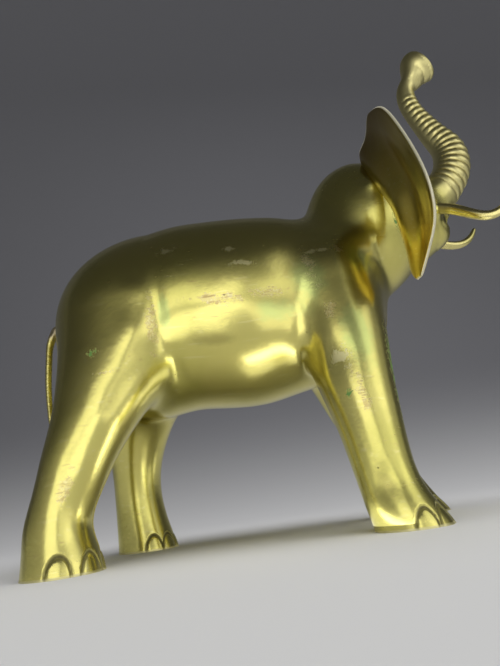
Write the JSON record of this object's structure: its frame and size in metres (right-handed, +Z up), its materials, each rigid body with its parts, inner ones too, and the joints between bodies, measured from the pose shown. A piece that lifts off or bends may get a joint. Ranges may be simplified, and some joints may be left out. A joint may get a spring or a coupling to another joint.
{
  "type": "elephant sculpture",
  "caption": "Cast brass elephant standing with its trunk raised and ringed, ears spread, slim curved tusks and a hanging tail.",
  "frame": {"origin": "on the floor, under the middle of the whole figure's box", "axes": "+X forward, the way the elephant faces; +Y to its left; +Z up, the longest extent"},
  "size_m": [0.3156, 0.1996, 0.3299],
  "materials": {
    "body_brass": "satin cast brass with brown-green patina, worn scratches and specks of verdigris",
    "ear_brass": "satin cast brass with a darker brown patina and bright worn rims",
    "tusk_brass": "satin cast brass, slightly paler",
    "tail_brass": "satin cast brass with a rough soldered root"
  },
  "bodies": {
    "root": {"body": "body_brass", "ear_left": "ear_brass", "ear_right": "ear_brass", "tusk_left": "tusk_brass", "tusk_right": "tusk_brass", "tail": "tail_brass"}
  },
  "joints": []
}
